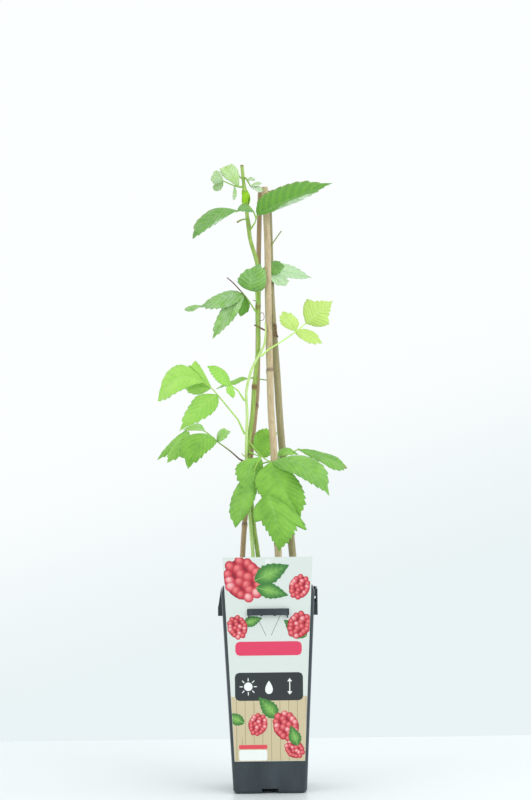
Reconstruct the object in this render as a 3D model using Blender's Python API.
"""Potted raspberry plant.

A young raspberry with two stems in a square tapered pot, held by three bamboo canes
and a wire tie, with a care card hooked on the pot's front clip.

Sizes and places are in millimetres, and MM turns them into metres. The origin is the
centre of the pot's foot, +Z is up, and the card is on the -Y side.
"""

import math
from collections import namedtuple

import bmesh
import bpy
from mathutils import Matrix, Vector

MM = 0.001
GAP = 0.3               # clearance between pieces that touch

# Pot
POT_FOOT = 89.0         # outer side at the foot
POT_RIM = 113.0         # outer side at the rim
POT_HEIGHT = 245.0
POT_WALL = 1.6
POT_CORNER = 6.5        # outer radius of the upright corners
INNER_CORNER = 5.6
FOOT_ROUND = 4.0        # radius where the wall turns into the foot
FOOT_INSET = 2.2        # how far the foot's edge stands back
FOOT_BEND = (0.9, 1.4)  # inset and height of the round's middle
RIM_ROUND = 0.4
FLOOR_UNDER = 6.0       # underside of the raised floor
FLOOR_TOP = 8.0
FOOT_PAD = 24.0         # diameter of the round foot in the middle
NOTCH_WIDTH = 20.0      # drain notch in each side
NOTCH_HEIGHT = 6.0
NOTCH_ROOT = 32.5       # the notches reach inwards to here from the middle
NOTCH_REACH = 52.5
ARCH_WIDTH = 27.0       # shallow relief either side of a notch
ARCH_HEIGHT = 1.6
DRAIN_HOLE = 10.0
DRAIN_SIDES = 12
DRAIN_PLACE = 29.0      # distance of a drain hole from the middle

# Clip near the rim, one on each side
CLIP_WIDTH = 48.0
LEDGE_LOW = 216.5
LEDGE_TOP = 224.0
LEDGE_SUNK = 0.8        # how deep the ledge is rooted in the wall
CLIP_PLATE = 1.8        # thickness of the upright plate
CLIP_LEG = 1.8
LEG_DROP = 3.2
LEG_DEPTH = 2.6
JOIN = 1.0              # how far pieces of the clip reach into each other
SLOT_LOW = 230.0
SLOT_TOP = 236.0
SLOT_WIDTH = 24.0
SLOT_SPARE = 0.1        # what the slot leaves in front of the pot's wall
FLANGE_DEPTH = 4.2      # depth of the front plate's turned-in ends
EYE_SKIN = 1.4          # what the eye through the closed ends leaves of the plate
TOOTH = 1.4             # half the width of a small tooth under the ledge
TOOTH_DROP = 0.9
TOOTH_DEPTH = 1.5
# Clips from the front round to the left: reach of the ledge, of the plate's foot and of its top
CLIPS = [(62.2, 58.3, 60.3), (60.4, 60.4, 60.5), (61.2, 61.2, 60.5), (61.0, 61.0, 57.3)]

# Compost
SOIL_EDGE = 221.5       # height along the wall
SOIL_CROWN = 225.5      # height in the middle
SOIL_RINGS = [(0.86, 223.5), (0.5, SOIL_CROWN)]    # share of the side, and height
HOLE_PLAY = 0.45        # clearance round a cane or stem in its hole
HOLE_SPARE = 5.0        # how far a hole's cutter stands out of the compost

# Care card
CARD_THICK = 0.6
CARD_LOW = 39.5
CARD_TOP = 286.5
CARD_LOW_WIDTH = 85.0
CARD_TOP_WIDTH = 108.0
CARD_FRONT = [(39.5, 47.1), (110.0, 50.6), (170.0, 53.6), (200.0, 55.7), (224.0, 58.8),
              (245.0, 61.1), (286.5, 63.6)]     # height and distance in front of the axis
WINDOW_WIDTH = 50.4
WINDOW_LOW = 216.2
PUNCH_PLACE = 281.0
PUNCH_HOLE = 6.0
PUNCH_SIDES = 20
TONGUE_WIDTH = 30.0
TONGUE_POINT = 191.5
TONGUE_HINGE = 6.0
SLIT = 0.5
CUT_NEAR = -80.0        # the card's cutters reach from here
CUT_FAR = -40.0         # to here

# Canes: route of each axis and its radius at the foot and at the top
CANE_SIDES = 8
CANES = {
    "cane_left": ((3.4, 2.9), [(-40.5, 26, 135), (-34.5, 20, 225), (-30.5, 17, 286), (-27, 15, 330),
                               (-18.7, 12, 410), (-13.1, 10, 459), (-9.5, 8.5, 505), (-6.4, 5.5, 648),
                               (-3.6, 3.5, 732)]),
    "cane_front": ((4.5, 4.0), [(20, -34, 135), (15.8, -29, 225), (13.3, -25, 287), (9.3, -20, 414),
                                (6.8, -17, 458), (5.7, -14.5, 510), (4.9, -10.5, 587), (4.7, -7, 672),
                                (2.0, -5, 737.5)]),
    "cane_right": ((4.7, 4.1), [(41.5, 31, 135), (35.5, 25, 225), (31.2, 22, 284), (19.1, 17, 426),
                                (14.4, 14, 510), (9.4, 11.5, 588), (7.8, 10, 640), (6.4, 7.8, 734)]),
}
CANE_NODES = {"cane_left": (322, 468, 612), "cane_front": (300, 510, 676), "cane_right": (390, 566)}
CANE_NODE_RISE = 0.5
CANE_NODE_REACH = 2.5   # half the length of a node's swelling
CANE_STEP = 32.0

# Stems: x, y, z and radius along each axis
STEM_SIDES = 8
STEM_MAIN = [(-3, -6, 192, 2.4), (-5.5, -7, 225, 2.7), (-11.6, -8, 286, 2.7), (-16, -8, 320, 2.7),
             (-19.2, -8, 358, 2.7), (-22.2, -8, 411, 2.7), (-16.1, -8, 459, 2.8), (-14, -8, 486, 2.9),
             (-13.4, -8, 493, 3.4), (-12.6, -8, 500, 2.7), (-9.1, -8, 531, 2.7), (-7.8, -8, 549, 2.7),
             (-8.4, -8, 572, 2.7), (-7.8, -8, 590, 3.4), (-6.9, -8, 612, 2.6), (-7.8, -8, 641, 2.5),
             (-16.1, -8, 672, 2.4), (-18.2, -8, 690, 2.8), (-19.8, -8, 703, 2.3), (-20.8, -8, 715, 2.2),
             (-21.2, -8, 725, 4.6), (-22.2, -8, 733, 3.0), (-23.4, -8, 741, 2.1), (-25.5, -8, 764.5, 2.1)]
STEM_SIDE = [(-12, -11, 192, 2.0), (-14, -11.5, 225, 2.3), (-17.6, -12.5, 286, 2.3),
             (-20.6, -13, 329, 2.0), (-24.2, -14, 380, 1.8), (-24.4, -14.5, 411, 1.8),
             (-22.7, -16, 459, 1.7), (-23.3, -18, 486, 1.6), (-17.5, -18.5, 510, 1.6),
             (-11, -18.5, 524, 1.6), (-6.8, -18.5, 531, 1.7), (-0.6, -18.5, 544, 1.3),
             (1.2, -18.5, 560, 1.0), (0.6, -18.5, 571, 0.7)]
STEM_STEP = 13.0

# Cut stalks, thorns and buds that grew on a stem: route and radius at root and tip
MAIN_SPURS = [
    ((0.9, 1.1), [(-20.5, -8, 698), (-26, -13, 697), (-32, -17, 693.5)]),
    ((0.9, 0.7), [(-7.5, -8, 635), (1, -1.6, 639), (7, 1, 655), (11, 1.5, 668), (22, 6, 684)]),
    ((0.8, 0.6), [(-12.4, -8, 502), (-4, -6, 501), (3, -3, 500)]),
    ((0.9, 0.4), [(-8, -8, 597), (-11, -10.5, 597.5), (-14, -13, 598.5)]),
    ((0.7, 1.0), [(-23.5, -8, 745), (-33.5, -3, 757), (-39.5, -2, 766)]),
]
SIDE_SPURS = [
    ((1.0, 0.5), [(-24.4, -14.5, 407), (-27.5, -16.5, 408), (-29.5, -18, 411)]),
]

# Tie round canes and main stem
TIED_CANES = ("cane_left", "cane_right")
TIE_HEIGHT = 562.0
TIE_FALL = -0.5         # the loop hangs lower towards +X, mm for each mm
TIE_WIRE = 0.6
TIE_SLACK = 0.5
TIE_POINTS = 22
TIE_SIDES = 5
TIE_KNOT = 20           # which point of the loop carries the twisted ends
TWIST_TURNS = 7
TWIST_RADIUS = 1.1
TWIST_START = Vector((-0.8, -2.4, 0.0))
TWIST_STEP = Vector((-0.5, -0.4, 2.2))

# Leaves
BLADE = 0.7             # thickness of a blade
YOUNG_BLADE = 0.6
STALK = 1.0             # radius of a leaf stalk at the stem
STALK_TIP = 0.7
STALK_SIDES = 6
SEAT = 0.4              # clearance of a stalk's root from the stem's skin
COLLAR = 1.6            # straight length of stalk next to the stem
FULLNESS = 1.6          # rounder leaflets have a smaller value
TOOTH_SHARE = 0.085     # height of a tooth against the half width
TOOTH_PLACE = 0.6       # where between two valleys a tooth stands
TOOTH_LEAN = 0.3        # how far it leans towards the tip, in teeth
CUP = 0.10              # rise of the blade between rib and margin
WAVE = 0.06             # sway of the margin
WAVES = 1.5
TIP_SHARE = 0.22        # last part of the rib, over which a leaflet draws out to its tip
TIP_WIDTH = 0.45        # share of the width that is left at the very tip
LOBE_START = 0.74       # width of a lobed blade past its side lobes
LOBE_FALL = 0.95
STALK_STEP = 9.0
SPUR_STEP = 8.0

Leaf = namedtuple("Leaf", "stem stalks leaflets tone")

# Each leaflet has its base, mid and tip along the rib, the widest points of its left and right
# halves, where along the rib that is, its teeth on a side, and whether it has side lobes
LEAVES = {
    "leaf_young_left": Leaf("main", [
        [(-23, -8, 738), (-31, -12, 737.5), (-39, -16, 740), (-49, -22, 744)],
    ], [
        ((-48, -21.5, 744), (-56, -26, 749.5), (-63.5, -30, 745), (-57, -24, 740.5), (-56, -25, 756), 0.5, 5),
        ((-48.5, -22, 744), (-55, -18, 739), (-58, -15, 732), (-50, -17, 736), (-60, -19, 739), 0.5, 4),
        ((-29.5, -11.5, 737.5), (-39, -15, 750), (-46, -15, 762.5), (-50, -20, 752), (-32, -11, 760), 0.5, 6),
        ((-35, -14.3, 738), (-34.5, -14.5, 728.5), (-36, -16, 720.5),
         (-32, -14, 729), (-37, -15, 728), 0.5, 4),
    ], "young"),
    "leaf_young_right": Leaf("main", [[(-24, -8, 748), (-17, -11, 741.5), (-14.5, -11, 737)]], [
        ((-19, -10.3, 744.5), (-15.5, -12, 747), (-9, -14, 745),
         (-15, -11, 749.5), (-14, -14, 744.5), 0.5, 3),
        ((-15.2, -10.8, 738.5), (-8.5, -12, 740), (-1, -13, 741), (-8.5, -10, 743), (-8.5, -15, 738), 0.5, 4),
        ((-14.8, -11, 737), (-6.5, -12.5, 734.5), (0.5, -13, 733), (-6, -11, 738), (-6, -14.5, 731), 0.5, 4),
    ], "young"),
    "leaf_top": Leaf("main", [
        [(-18, -8, 686), (-10, -18, 693), (-7.5, -22, 702)],
        [(-8.4, -20, 697), (-13, -25, 707), (-21, -29, 711), (-33, -37, 704)],
    ], [
        ((-7.6, -22.4, 701.6), (34, -31, 720), (85.5, -6, 741.5),
         (12, -20, 732.5), (31, -45, 710.5), 0.38, 10),
        ((-31, -36, 706), (-58, -50, 699), (-85.5, -60, 670), (-60, -60, 687), (-70, -42, 703), 0.52, 8),
        ((-11, -24, 705), (-21, -29.4, 711.5), (-32, -36.4, 705.5),
         (-20, -34, 705), (-22, -25, 715), 0.45, 4),
    ], "mature"),
    "leaf_upper_front": Leaf("main", [[(-8, -8, 596), (-10, -17, 601), (-10.5, -20, 609)]], [
        ((-10.2, -19.2, 608), (-16, -28, 621), (-5, -20, 642.5), (-31.5, -31, 621), (2, -24, 621), 0.46, 7),
    ], "mature"),
    "leaf_upper_back": Leaf("main", [[(-7, -8, 611), (0, -2.2, 614), (4.6, 0.2, 626), (5.8, 0.8, 638.5)]], [
        ((6, 0.6, 637), (33, 20, 634), (59.5, 42, 628), (28, 14, 627.5), (24, 14.6, 644.5), 0.35, 8),
        ((5.6, 0.6, 638.2), (14, 3, 640), (26, 7, 640.5), (13, 2, 647), (13, 1, 630), 0.45, 5),
        ((6.7, 1.3, 632.6), (15, 4.5, 625.6), (27, 8, 616.5), (11, 1.5, 621), (26, 10, 627), 0.5, 5),
    ], "mature"),
    "leaf_upper_left": Leaf("main", [[(-8, -8, 585), (-15, -16, 591), (-21, -20, 600), (-26, -23, 606),
                                      (-38, -27, 619), (-45, -29, 625)]], [
        ((-24, -22, 604), (-50, -29, 600), (-79, -36, 589), (-47, -36, 589), (-46, -23, 608.5), 0.40, 8),
        ((-76, -35, 591), (-87, -40, 587), (-97, -42, 586), (-88, -44, 584), (-88, -38, 591), 0.5, 4),
        ((-25, -22.5, 604), (-43, -33, 582), (-63.5, -40, 550), (-36, -41, 577), (-51, -29, 587), 0.40, 8),
        ((-24, -21.5, 604), (-25, -16, 592), (-29, -15, 578), (-18, -11, 591), (-32, -18, 590), 0.5, 5),
    ], "mature"),
    "leaf_light_right": Leaf("side", [[(-6.8, -18.5, 531), (4, -21, 537), (19, -18, 546), (38, -12, 559),
                                       (51, -8, 569.5)]], [
        ((38, -12, 559.5), (29, -16, 570), (22.5, -19, 584), (21, -20, 568), (40, -9, 574), 0.45, 6),
        ((50.5, -8, 569), (66, -10, 582), (84.5, -2, 597), (53.5, -2, 599), (79, -6, 569), 0.5, 10, True),
        ((37.5, -12, 558.5), (53, -17, 554.5), (70.5, -14, 544), (54.5, -10, 561), (49, -23, 547), 0.45, 6),
    ], "light"),
    "leaf_mid_left": Leaf("side", [
        [(-23.5, -15, 435), (-34, -10, 452), (-59, 2, 483), (-66, 5, 491), (-75, 7, 498)],
    ], [
        ((-73, 6, 497), (-107, 18, 504.5), (-134, 34, 476.5),
         (-109, 6, 487), (-115, 29, 518.5), 0.60, 9),
        ((-67, 5.6, 491.5), (-86, 18, 492), (-101, 28, 494), (-85, 22, 484), (-86, 24, 501), 0.42, 5),
        ((-59.4, 1.6, 483), (-77, 0, 469), (-106.5, 6, 439), (-64, -8, 463), (-87, 13, 478.5), 0.38, 8),
        ((-67, 5.6, 491.5), (-78, 13, 507.5), (-86, 22, 526.5), (-92, 20, 507), (-74.5, 16, 509), 0.45, 6),
    ], "light"),
    "leaf_mid_fold": Leaf("side", [[(-23.4, -17.5, 476), (-33, -22, 487), (-43.5, -24, 495.5)]], [
        ((-42.5, -24, 495), (-56, -30, 509.5), (-70.5, -34, 517.5),
         (-57, -34, 498.5), (-50.5, -25, 512.5), 0.42, 9),
        ((-43.3, -24, 495), (-43, -28, 487), (-39, -28, 478), (-38, -25, 488), (-47.5, -30, 488), 0.5, 4),
    ], "light"),
    "leaf_edge_on": Leaf("main", [[(-12.5, -8, 503), (-19.5, 2, 503), (-24, 8, 502.5)]], [
        ((-23, 6.5, 502.5), (-38, 20, 500), (-62, 40, 491), (-38, 7, 496), (-32, 34, 503), 0.42, 7),
    ], "mature"),
    "leaf_low_left": Leaf("side", [[(-24.3, -14.3, 401), (-33, -18, 404), (-44, -22, 414), (-61, -27, 427),
                                    (-76, -26, 439), (-97, -25, 440)]], [
        ((-61, -27.2, 427.4), (-76, -44, 430), (-94.5, -54, 393), (-67, -52, 418), (-99, -42, 430), 0.45, 8),
        ((-60, -26.6, 427), (-53.5, -31, 434), (-42.5, -36, 437.5),
         (-56.5, -25, 439.5), (-54, -37, 426.5), 0.42, 5),
        ((-74, -26, 438.5), (-86, -21, 443), (-101, -16, 440), (-86, -27, 440), (-84, -17, 448), 0.5, 5),
        ((-96, -24.6, 440.4), (-114, -19, 422.5), (-133.5, -15, 404),
         (-110, -20, 419), (-116, -14, 426), 0.45, 6),
        ((-94, -25.6, 439), (-105.5, -28, 421), (-120.5, -30, 400.5),
         (-97, -29, 417), (-113, -24, 423), 0.45, 7),
    ], "mature"),
    "leaf_round_back": Leaf("main", [[(-21.5, -8, 420), (-16.5, -5.5, 417), (-14, -5, 415.5)]], [
        ((-15, -5.2, 415), (-4, 0, 425), (14, 3, 436), (-10, -3, 437), (2, -6, 407), 0.45, 9),
    ], "mature"),
    "leaf_low_front_left": Leaf("main", [
        [(-22, -8, 412), (-13, -22, 409), (-6, -29, 406)],
        [(-7, -28, 406), (-11, -31, 399), (-16, -33.5, 389)],
    ], [
        ((-7, -28, 406.6), (-20, -33, 393), (-25, -38, 360),
         (-7.5, -25, 386.5), (-34.5, -31, 397.5), 0.32, 8),
        ((-15, -33, 391), (-28, -38, 353), (-38.5, -34, 320.5), (-14.5, -37, 357), (-42, -30, 358), 0.5, 9),
    ], "mature"),
    "leaf_low_front": Leaf("main", [
        [(-21, -8, 422), (-14, -14, 416), (-3, -21, 405), (6.5, -33, 399.5)],
        [(5.6, -31, 400.5), (2, -34, 380), (1.5, -40, 363)],
    ], [
        ((5, -32.5, 400), (19, -39, 370), (41, -40, 332), (40, -38, 374), (-11, -41.5, 367), 0.42, 10),
        ((1, -42.5, 361.5), (11, -60, 329), (14, -56, 291.5),
         (46, -54, 321.5), (-15, -52, 331), 0.34, 10, True),
        ((6.4, -32.6, 399.4), (46, -42, 395), (76, -34, 358), (55, -27, 405), (39, -50, 383), 0.42, 9),
    ], "mature"),
    "leaf_right": Leaf("main", [
        [(-21.8, -8, 401), (-5, -4.5, 398), (14, -5, 403), (28, -8, 409), (41, -10, 416)],
    ], [
        ((38.5, -10, 415), (72, -3, 405), (100, 10, 391), (77, 9, 408.5), (78, -16, 393), 0.55, 9),
        ((13, -5, 402.8), (23, -6, 413), (40, -7, 408.5), (21, 1, 417), (22, -12, 408), 0.5, 6),
    ], "mature"),
}

# Finish of each material: colour, roughness and metallic
FINISHES = {
    "pot": ((0.052, 0.070, 0.080), 0.42),
    "soil": ((0.045, 0.028, 0.018), 0.95),
    "card": ((0.80, 0.83, 0.82), 0.45),
    "bamboo": ((0.47, 0.35, 0.20), 0.55),
    "wire": ((0.16, 0.10, 0.06), 0.60),
    "stem": ((0.25, 0.42, 0.07), 0.55),
    "stem_side": ((0.42, 0.66, 0.16), 0.55),
    "mature": ((0.13, 0.42, 0.06), 0.55),
    "light": ((0.30, 0.62, 0.09), 0.55),
    "young": ((0.40, 0.66, 0.22), 0.60),
}


Leaflet = namedtuple("Leaflet", "base mid tip left right belly teeth lobed")


def leaflet(base, mid, tip, left, right, belly, teeth, lobed=False):
    places = [Vector(place) for place in (base, mid, tip, left, right)]
    return Leaflet(*places, belly, teeth, lobed)


def clear_scene():
    for old in list(bpy.data.objects):
        bpy.data.objects.remove(old, do_unlink=True)


def material(name):
    """Principled material for one finish, made once."""
    found = bpy.data.materials.get(name)
    if found:
        return found
    colour, roughness = FINISHES[name]
    made = bpy.data.materials.new(name)
    made.use_nodes = True
    shader = made.node_tree.nodes["Principled BSDF"]
    shader.inputs["Base Color"].default_value = (*colour, 1.0)
    shader.inputs["Roughness"].default_value = roughness
    shader.inputs["Metallic"].default_value = 0.0
    return made


def add_object(name, bm, finish=None):
    """Turn a bmesh in millimetres into an object in metres."""
    bmesh.ops.scale(bm, vec=(MM, MM, MM), verts=bm.verts)
    mesh = bpy.data.meshes.new(name)
    bm.to_mesh(mesh)
    bm.free()
    made = bpy.data.objects.new(name, mesh)
    bpy.context.scene.collection.objects.link(made)
    if finish:
        mesh.materials.append(material(finish))
    return made


def combine(target, operation, others, solver="EXACT"):
    """Join others to target, or cut them out of it, and remove them."""
    tools = bpy.data.collections.new("tools")
    bpy.context.scene.collection.children.link(tools)
    for other in others:
        bpy.context.scene.collection.objects.unlink(other)
        tools.objects.link(other)
    step = target.modifiers.new("combine", "BOOLEAN")
    step.operation = operation
    step.operand_type = "COLLECTION"
    step.collection = tools
    step.solver = solver
    result = target.evaluated_get(bpy.context.evaluated_depsgraph_get())
    mesh = bpy.data.meshes.new_from_object(result)
    mesh.name = target.name
    target.modifiers.clear()
    target.data = mesh
    for other in others:
        bpy.data.objects.remove(other, do_unlink=True)
    bpy.data.collections.remove(tools)
    return target


def drop_scraps(target):
    """Keep the largest connected body; crossing blades can leave crumbs and sealed gaps."""
    bm = bmesh.new()
    bm.from_mesh(target.data)
    waiting = set(bm.faces)
    bodies = []
    while waiting:
        body = [waiting.pop()]
        for face in body:
            for edge in face.edges:
                for other in edge.link_faces:
                    if other in waiting:
                        waiting.remove(other)
                        body.append(other)
        bodies.append(body)
    bodies.sort(key=len)
    for body in bodies[:-1]:
        bmesh.ops.delete(bm, geom=body, context="FACES")
    bm.to_mesh(target.data)
    bm.free()


def smooth(target, angle=40.0):
    target.data.shade_smooth()
    target.data.set_sharp_from_angle(angle=math.radians(angle))


def loft(rings):
    """Closed bmesh through rings of equal length, with flat ends."""
    bm = bmesh.new()
    rows = [[bm.verts.new(point) for point in ring] for ring in rings]
    count = len(rows[0])
    for low, high in zip(rows, rows[1:]):
        for i in range(count):
            j = (i + 1) % count
            bm.faces.new((low[i], low[j], high[j], high[i]))
    bm.faces.new(rows[0][::-1])
    bm.faces.new(rows[-1])
    bmesh.ops.recalc_face_normals(bm, faces=bm.faces)
    return bm


def box(name, low, high, finish=None):
    bm = bmesh.new()
    bmesh.ops.create_cube(bm, size=1.0)
    for vert in bm.verts:
        for axis in range(3):
            vert.co[axis] = high[axis] if vert.co[axis] > 0 else low[axis]
    return add_object(name, bm, finish)


def rod(name, radius, low, high, sides=24, finish=None):
    """Upright cylinder round low, up to the height of high."""
    rings = []
    for z in (low[2], high):
        rings.append([(low[0] + radius * math.cos(math.tau * i / sides),
                       low[1] + radius * math.sin(math.tau * i / sides), z) for i in range(sides)])
    return add_object(name, loft(rings), finish)


def turned(target, quarter):
    """Turn an object's mesh about the pot's axis by quarter turns."""
    target.data.transform(Matrix.Rotation(quarter * math.pi / 2, 4, "Z"))
    return target


def spline(points, step):
    """Points along a smooth curve through the given ones, about step apart."""
    points = [Vector(p) for p in points]
    padded = [2 * points[0] - points[1], *points, 2 * points[-1] - points[-2]]
    result = [points[0].copy()]
    for before, start, end, after in zip(padded, padded[1:], padded[2:], padded[3:]):
        pieces = max(1, round((end - start).length / step))
        for i in range(1, pieces + 1):
            t = i / pieces
            result.append(0.5 * (2 * start + (end - before) * t
                                 + (2 * before - 5 * start + 4 * end - after) * t * t
                                 + (3 * start - before - 3 * end + after) * t ** 3))
    return result


def tube_rings(points, radii, sides):
    """Rings round a route, each square to it, without twist."""
    rings = []
    side = None
    for i, point in enumerate(points):
        ahead = points[min(i + 1, len(points) - 1)]
        behind = points[max(i - 1, 0)]
        along = (ahead - behind).normalized()
        if side is None:
            side = along.orthogonal()
        side = (side - along * side.dot(along)).normalized()
        other = along.cross(side)
        turns = [math.tau * k / sides for k in range(sides)]
        rings.append([point + (side * math.cos(a) + other * math.sin(a)) * radii[i] for a in turns])
    return rings


def taper(count, start, end):
    return [start + (end - start) * i / (count - 1) for i in range(count)]


def half_side(z):
    """Half of the pot's outer side at a height."""
    return (POT_FOOT + (POT_RIM - POT_FOOT) * z / POT_HEIGHT) / 2


def square_ring(half, corner, z, steps=3):
    """Square with rounded corners, as a ring of points."""
    ring = []
    for quarter in range(4):
        for i in range(steps + 1):
            angle = math.radians(90 * (quarter + i / steps))
            centre = math.radians(45 + 90 * quarter)
            reach = (half - corner) * math.sqrt(2)
            ring.append((reach * math.cos(centre) + corner * math.cos(angle),
                         reach * math.sin(centre) + corner * math.sin(angle), z))
    return ring


def clip(quarter, ledge_out, plate_low, plate_top):
    """Clip on one side: ledge with legs and teeth, and a slotted plate with turned-in ends.

    The front one, which holds the card, is open below and at its ends; the others are closed.
    """
    half = CLIP_WIDTH / 2
    closed = quarter > 0
    root = half_side(LEDGE_LOW) - LEDGE_SUNK
    leg_depth = ledge_out - root - SLOT_SPARE if closed else LEG_DEPTH
    flange = plate_low - root - 2 * SLOT_SPARE if closed else FLANGE_DEPTH
    pieces = [box("ledge", (-half, -ledge_out, LEDGE_LOW), (half, -root, LEDGE_TOP))]
    for side in (-1, 1):
        edges = sorted((side * half, side * (half - CLIP_LEG)))
        pieces.append(box("leg", (edges[0], -ledge_out, LEDGE_LOW - LEG_DROP),
                          (edges[1], -ledge_out + leg_depth, LEDGE_LOW + JOIN)))
        middle = side * half / 3
        pieces.append(box("tooth", (middle - TOOTH, -ledge_out, LEDGE_LOW - TOOTH_DROP),
                          (middle + TOOTH, -ledge_out + TOOTH_DEPTH, LEDGE_LOW + JOIN)))
    low = LEDGE_TOP - 2 * JOIN
    top = POT_HEIGHT
    for inner, outer, thick in ((-half, half, CLIP_PLATE), (-half, -half + CLIP_LEG, flange),
                                (half - CLIP_LEG, half, flange)):
        thick_top = min(thick, plate_top - half_side(top) + 2 * RIM_ROUND)
        ring_low = [(inner, -plate_low, low), (outer, -plate_low, low),
                    (outer, -plate_low + thick, low), (inner, -plate_low + thick, low)]
        ring_top = [(inner, -plate_top, top), (outer, -plate_top, top),
                    (outer, -plate_top + thick_top, top), (inner, -plate_top + thick_top, top)]
        pieces.append(add_object("plate", loft([ring_low, ring_top])))
    wall = half_side(SLOT_TOP) + SLOT_SPARE
    cutters = [box("slot", (-SLOT_WIDTH / 2, -2 * ledge_out, SLOT_LOW), (SLOT_WIDTH / 2, -wall, SLOT_TOP))]
    if closed:
        face = plate_low + (plate_top - plate_low) * (SLOT_TOP - low) / (top - low)
        cutters.append(box("eye", (-half - JOIN, -face + EYE_SKIN, SLOT_LOW), (half + JOIN, -wall - SLOT_SPARE, SLOT_TOP)))
    body = combine(pieces[0], "UNION", pieces[1:])
    combine(body, "DIFFERENCE", cutters)
    return turned(body, quarter)


def build_pot():
    shoulder = POT_HEIGHT - POT_WALL / 2
    bend_inset, bend_height = FOOT_BEND
    outer = [
        (half_side(0) - FOOT_INSET, 0.0),
        (half_side(0) - bend_inset, bend_height),
        (half_side(FOOT_ROUND), FOOT_ROUND),
        (half_side(shoulder), shoulder),
        (half_side(POT_HEIGHT) - RIM_ROUND, POT_HEIGHT),
    ]
    inner = [
        (half_side(POT_HEIGHT) - POT_WALL + RIM_ROUND, POT_HEIGHT),
        (half_side(POT_HEIGHT) - POT_WALL, shoulder),
        (half_side(FLOOR_TOP) - POT_WALL, FLOOR_TOP),
    ]
    foot_inner = half_side(0) - FOOT_INSET - POT_WALL
    rings = [square_ring(foot_inner, INNER_CORNER, FLOOR_UNDER), square_ring(foot_inner, INNER_CORNER, 0.0)]
    rings += [square_ring(half, POT_CORNER, z) for half, z in outer]
    rings += [square_ring(half, INNER_CORNER, z) for half, z in inner]
    pot = add_object("pot", loft(rings), "pot")
    pad = rod("pad", FOOT_PAD / 2, (0, 0, 0), FLOOR_UNDER + JOIN)
    combine(pot, "UNION", [pad, *(clip(quarter, *sizes) for quarter, sizes in enumerate(CLIPS))])
    cutters = []
    for quarter in range(4):
        for width, height in ((NOTCH_WIDTH, NOTCH_HEIGHT), (ARCH_WIDTH, ARCH_HEIGHT)):
            notch = box("notch", (-width / 2, -NOTCH_REACH, -JOIN), (width / 2, -NOTCH_ROOT, height))
            cutters.append(turned(notch, quarter))
        hole = rod("hole", DRAIN_HOLE / 2, (0, -DRAIN_PLACE, FLOOR_UNDER - JOIN), FLOOR_TOP + JOIN,
                   DRAIN_SIDES)
        cutters.append(turned(hole, quarter))
    combine(pot, "DIFFERENCE", cutters)
    smooth(pot)


def card_front(z):
    """Distance of the card's middle in front of the pot's axis."""
    for (low, near), (high, far) in zip(CARD_FRONT, CARD_FRONT[1:]):
        if z <= high:
            return near + (far - near) * (z - low) / (high - low)
    return CARD_FRONT[-1][1]


def build_card():
    rings = []
    for z, front in CARD_FRONT:
        half = (CARD_LOW_WIDTH + (CARD_TOP_WIDTH - CARD_LOW_WIDTH)
                * (z - CARD_LOW) / (CARD_TOP - CARD_LOW)) / 2
        near, far = -front - CARD_THICK / 2, -front + CARD_THICK / 2
        rings.append([(-half, near, z), (half, near, z), (half, far, z), (-half, far, z)])
    card = add_object("label", loft(rings), "card")
    window = box("window", (-WINDOW_WIDTH / 2, CUT_NEAR, WINDOW_LOW),
                 (WINDOW_WIDTH / 2, CUT_FAR, LEDGE_TOP + GAP))
    turns = [math.tau * i / PUNCH_SIDES for i in range(PUNCH_SIDES)]
    punch_rings = [[(PUNCH_HOLE / 2 * math.cos(a), y, PUNCH_PLACE + PUNCH_HOLE / 2 * math.sin(a))
                    for a in turns] for y in (CUT_NEAR, CUT_FAR)]
    punch = add_object("punch", loft(punch_rings))
    slits = []
    for side in (-1, 1):
        top = (side * TONGUE_WIDTH / 2, WINDOW_LOW + JOIN)
        foot = (side * TONGUE_HINGE / 2, TONGUE_POINT)
        ring = [(top[0], top[1]), (top[0] + SLIT, top[1]), (foot[0] + SLIT, foot[1]), (foot[0], foot[1])]
        rings = [[(x, y, z) for x, z in ring] for y in (CUT_NEAR, CUT_FAR)]
        slits.append(add_object("slit", loft(rings)))
    combine(card, "DIFFERENCE", [window, punch, *slits])


def cane_shape(name):
    (foot, top), route = CANES[name]
    points = spline(route, CANE_STEP)
    low, high = points[0].z, points[-1].z

    def radius(z):
        return foot + (top - foot) * (z - low) / (high - low)

    swollen = []
    for height in CANE_NODES[name]:
        for i, (a, b) in enumerate(zip(points, points[1:])):
            if a.z < height - CANE_NODE_REACH and b.z > height + CANE_NODE_REACH:
                ring = [a.lerp(b, (height + rise - a.z) / (b.z - a.z))
                        for rise in (-CANE_NODE_REACH, 0, CANE_NODE_REACH)]
                points[i + 1:i + 1] = ring
                swollen.append(ring[1])
                break
    radii = [radius(p.z) + (CANE_NODE_RISE if p in swollen else 0) for p in points]
    return points, radii


def stem_shape(rows):
    """Points and radii of a stem, with the radius carried as a fourth number."""
    points = [Vector(row) for row in rows]
    padded = [2 * points[0] - points[1], *points, 2 * points[-1] - points[-2]]
    result = [points[0].copy()]
    for before, start, end, after in zip(padded, padded[1:], padded[2:], padded[3:]):
        pieces = max(1, round((end - start).length / STEM_STEP))
        for i in range(1, pieces + 1):
            t = i / pieces
            point = 0.5 * (2 * start + (end - before) * t
                           + (2 * before - 5 * start + 4 * end - after) * t * t
                           + (3 * start - before - 3 * end + after) * t ** 3)
            point[3] = start[3] + (end[3] - start[3]) * t
            result.append(point)
    return [p.to_3d() for p in result], [p[3] for p in result]


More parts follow.
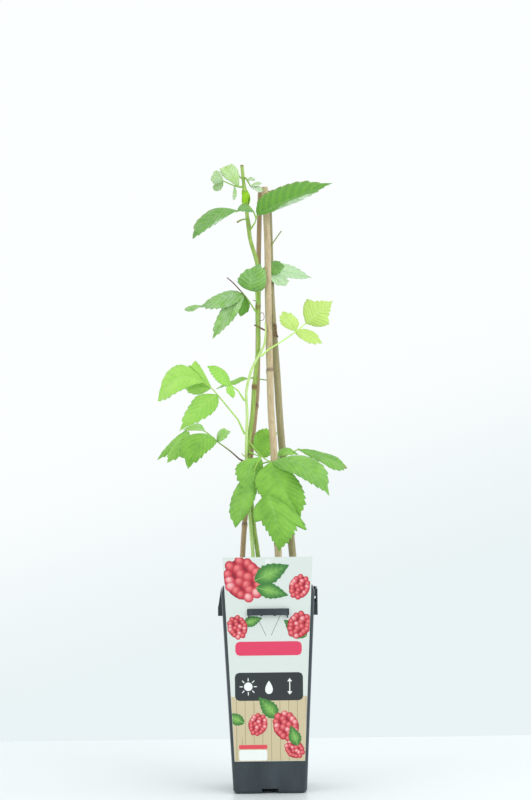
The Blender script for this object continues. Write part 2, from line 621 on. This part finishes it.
def hole_cutter(points, radii, sides):
    """What a cane or stem takes out of the compost, with clearance all round."""
    buried = sum(1 for p in points if p.z < SOIL_CROWN + HOLE_SPARE)
    depth = [p.copy() for p in points[:buried + 1]]
    wide = [radii[i] + HOLE_PLAY for i in range(len(depth))]
    depth[0] = depth[0] - (depth[1] - depth[0]).normalized() * GAP
    return add_object("hole", loft(tube_rings(depth, wide, sides)))


def build_canes():
    for name in CANES:
        points, radii = cane_shape(name)
        smooth(add_object(name, loft(tube_rings(points, radii, CANE_SIDES)), "bamboo"))


def build_stem(name, rows, spurs, finish):
    points, radii = stem_shape(rows)
    stem = add_object(name, loft(tube_rings(points, radii, STEM_SIDES)), finish)
    branches = []
    for (root, tip), route in spurs:
        places = spline(route, SPUR_STEP)
        rings = tube_rings(places, taper(len(places), root, tip), STALK_SIDES)
        branches.append(add_object("spur", loft(rings)))
    combine(stem, "UNION", branches)
    smooth(stem)


def build_soil():
    inner = POT_WALL + GAP
    low = FLOOR_TOP + GAP
    edge = half_side(SOIL_EDGE) - inner
    rings = [square_ring(half_side(low) - inner, INNER_CORNER - GAP, low),
             square_ring(edge, INNER_CORNER - GAP, SOIL_EDGE)]
    rings += [square_ring(edge * share, POT_CORNER, z) for share, z in SOIL_RINGS]
    soil = add_object("soil", loft(rings), "soil")
    cutters = [hole_cutter(*cane_shape(name), CANE_SIDES) for name in CANES]
    cutters += [hole_cutter(*stem_shape(rows), STEM_SIDES) for rows in (STEM_MAIN, STEM_SIDE)]
    combine(soil, "DIFFERENCE", cutters)


def axis_at(points, radii, z):
    """Centre and radius of an upright pole at a height."""
    for a, b, ra, rb in zip(points, points[1:], radii, radii[1:]):
        if a.z <= z <= b.z:
            t = (z - a.z) / (b.z - a.z)
            return a.lerp(b, t), ra + (rb - ra) * t
    raise ValueError("no pole at this height")


def build_tie():
    """Loop of wire stretched round two canes and the stem, with its twisted ends at the right."""
    poles = [axis_at(*cane_shape(name), TIE_HEIGHT) for name in TIED_CANES]
    poles.append(axis_at(*stem_shape(STEM_MAIN), TIE_HEIGHT))
    loop = []
    for i in range(TIE_POINTS):
        out = Vector((math.cos(math.tau * i / TIE_POINTS), math.sin(math.tau * i / TIE_POINTS), 0))
        centre, radius = max(poles, key=lambda pole: pole[0].dot(out) + pole[1])
        point = centre + out * (radius + GAP + TIE_WIRE + TIE_SLACK)
        point.z = TIE_HEIGHT + TIE_FALL * point.x
        loop.append(point)
    rings = []
    for i, point in enumerate(loop):
        along = (loop[(i + 1) % TIE_POINTS] - loop[i - 1]).normalized()
        up = (Vector((0, 0, 1)) - along * along.z).normalized()
        side = along.cross(up)
        turns = [math.tau * k / TIE_SIDES for k in range(TIE_SIDES)]
        rings.append([point + (side * math.cos(a) + up * math.sin(a)) * TIE_WIRE for a in turns])
    bm = bmesh.new()
    rows = [[bm.verts.new(p) for p in ring] for ring in rings]
    for low, high in zip(rows, rows[1:] + rows[:1]):
        for k in range(TIE_SIDES):
            j = (k + 1) % TIE_SIDES
            bm.faces.new((low[k], low[j], high[j], high[k]))
    bmesh.ops.recalc_face_normals(bm, faces=bm.faces)
    tie = add_object("tie", bm, "wire")
    ends = []
    start = loop[TIE_KNOT]
    for turn in (0, 1):
        route = [start]
        for i in range(TWIST_TURNS):
            angle = math.pi * (i / 2 + turn)
            route.append(start + TWIST_START + TWIST_STEP * i
                         + Vector((math.cos(angle), 0, math.sin(angle))) * TWIST_RADIUS)
        ends.append(add_object("end", loft(tube_rings(route, [TIE_WIRE] * len(route), TIE_SIDES))))
    combine(tie, "UNION", ends, "MANIFOLD")


def rib_point(leaf, t):
    """Point on the curve through base, mid and tip."""
    start, middle, end = 2 * (t - 0.5) * (t - 1), 4 * t * (1 - t), 2 * t * (t - 0.5)
    return leaf.base * start + leaf.mid * middle + leaf.tip * end


def rib_along(leaf, t):
    return (rib_point(leaf, t + 0.01) - rib_point(leaf, t - 0.01)).normalized()


def half_width(leaf, t):
    """Width of a half at t along the rib, against its widest place."""
    t = min(max(t, 0.0), 1.0)
    drawn = TIP_WIDTH + (1 - TIP_WIDTH) * min(1.0, (1 - t) / TIP_SHARE)
    if leaf.lobed and t > leaf.belly + 0.01:
        return drawn * LOBE_START * ((1 - t) / (1 - leaf.belly)) ** LOBE_FALL
    rise = (t / leaf.belly) ** (FULLNESS * leaf.belly)
    fall = ((1 - t) / (1 - leaf.belly)) ** (FULLNESS * (1 - leaf.belly))
    return drawn * rise * fall


def blade(leaf, thickness):
    """One leaflet: ribs, halves and toothed margins, as a thin closed solid."""
    bm = bmesh.new()
    count = leaf.teeth
    widest = rib_point(leaf, leaf.belly)
    rib = [bm.verts.new(rib_point(leaf, i / count)) for i in range(count + 1)]
    for reach, turn in ((leaf.left - widest, 1), (leaf.right - widest, -1)):

        def place(t, share, forward=0.0, extra=0.0):
            up = (leaf.right - leaf.left).cross(rib_along(leaf, t)).normalized()
            width = half_width(leaf, t) + extra
            lift = CUP * 4 * share * (1 - share)
            lift += WAVE * share * math.sin(math.tau * WAVES * t + turn)
            return rib_point(leaf, t + forward) + (reach * share + up * lift * reach.length) * width

        middle = [rib[0]]
        valley = [rib[0]]
        for i in range(1, count):
            middle.append(bm.verts.new(place(i / count, 0.5)))
            valley.append(bm.verts.new(place(i / count, 1.0)))
        middle.append(rib[-1])
        valley.append(rib[-1])
        for i in range(count):
            t = (i + TOOTH_PLACE) / count
            extra = TOOTH_SHARE * min(1.0, 2 * half_width(leaf, t))
            tooth = bm.verts.new(place(t, 1.0, TOOTH_LEAN / count, extra))
            if i == 0:
                faces = [(rib[0], rib[1], middle[1]), (rib[0], middle[1], tooth),
                         (middle[1], valley[1], tooth)]
            elif i == count - 1:
                faces = [(rib[i], rib[-1], middle[i]), (middle[i], rib[-1], tooth),
                         (middle[i], tooth, valley[i])]
            else:
                faces = [(rib[i], rib[i + 1], middle[i]), (middle[i], rib[i + 1], middle[i + 1]),
                         (middle[i], middle[i + 1], tooth), (middle[i], tooth, valley[i]),
                         (middle[i + 1], valley[i + 1], tooth)]
            for face in faces:
                bm.faces.new(face if turn > 0 else face[::-1])
    bmesh.ops.recalc_face_normals(bm, faces=bm.faces)
    made = add_object("blade", bm)
    wall = made.modifiers.new("thickness", "SOLIDIFY")
    wall.thickness = thickness * MM
    wall.offset = 0.0
    return made


def seated_route(leaf, poles):
    """Stalk route from just off its stem's skin, square to it at first."""
    points, radii = poles[leaf.stem]
    route = [Vector(p) for p in leaf.stalks[0]]
    z = route[0].z
    centre, radius = axis_at(points, radii, z)
    along = axis_at(points, radii, z + 2)[0] - axis_at(points, radii, z - 2)[0]
    out = route[1] - centre
    out = (out - along * out.dot(along) / along.length_squared).normalized()
    start = centre + out * (radius + SEAT)
    return [start, start + out * COLLAR, *spline(route[1:], STALK_STEP)]


def build_leaf(name, leaf, poles):
    routes = [seated_route(leaf, poles)]
    routes += [spline(route, STALK_STEP) for route in leaf.stalks[1:]]
    stalks = []
    for route in routes:
        rings = tube_rings(route, taper(len(route), STALK, STALK_TIP), STALK_SIDES)
        stalks.append(add_object(name, loft(rings), leaf.tone))
    thickness = YOUNG_BLADE if leaf.tone == "young" else BLADE
    blades = [blade(leaflet(*row), thickness) for row in leaf.leaflets]
    whole = combine(stalks[0], "UNION", [*stalks[1:], *blades], "MANIFOLD")
    drop_scraps(whole)
    whole.name = name
    whole.data.materials.clear()
    whole.data.materials.append(material(leaf.tone))
    smooth(whole, 50.0)


def main():
    clear_scene()
    build_pot()
    build_soil()
    build_card()
    build_canes()
    build_stem("stem_main", STEM_MAIN, MAIN_SPURS, "stem")
    build_stem("stem_side", STEM_SIDE, SIDE_SPURS, "stem_side")
    build_tie()
    poles = {"main": stem_shape(STEM_MAIN), "side": stem_shape(STEM_SIDE)}
    for name, leaf in LEAVES.items():
        build_leaf(name, leaf, poles)


main()
